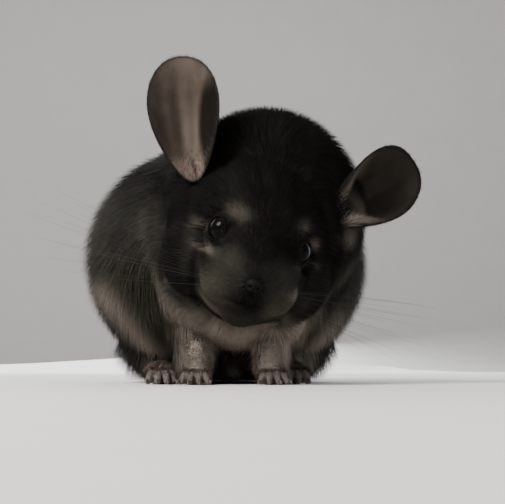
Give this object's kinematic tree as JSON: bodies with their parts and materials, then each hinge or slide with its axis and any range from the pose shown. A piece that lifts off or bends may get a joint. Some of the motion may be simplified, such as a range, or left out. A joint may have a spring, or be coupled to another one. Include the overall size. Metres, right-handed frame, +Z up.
{
  "type": "chinchilla model",
  "caption": "Life-size still model of a standard grey chinchilla, crouched on all fours with its head low and tilted, large round ears and a bristly tail laid behind.",
  "frame": {"origin": "centre of the bounding box, at floor level under the feet", "axes": "+Z up; the animal faces -Y, so its length from nose to tail runs along Y; its left side is at +X"},
  "size_m": [0.185, 0.2988, 0.1376],
  "materials": {
    "dark_fur": "dense soft fur, near black slate",
    "grey_fur": "dense soft fur, grey with pale band",
    "pale_fur": "short soft fur, pale cream grey",
    "ear_skin": "thin bare skin with fine short hair",
    "eye": "wet gloss, near black"
  },
  "bodies": {
    "root": {"ear_left": "ear_skin", "ear_right": "ear_skin", "eye_left": "eye", "eye_right": "eye", "foreleg_left": "pale_fur", "foreleg_right": "pale_fur", "forepaw_left": "pale_fur", "forepaw_right": "pale_fur", "head": "dark_fur", "hindfoot_left": "pale_fur", "hindfoot_right": "pale_fur", "neck": "dark_fur", "tail_brush": "grey_fur", "tail_root": "grey_fur", "thigh_left": "grey_fur", "thigh_right": "grey_fur", "torso": "grey_fur", "whisker_pad_left": "dark_fur", "whisker_pad_right": "dark_fur"}
  },
  "joints": []
}
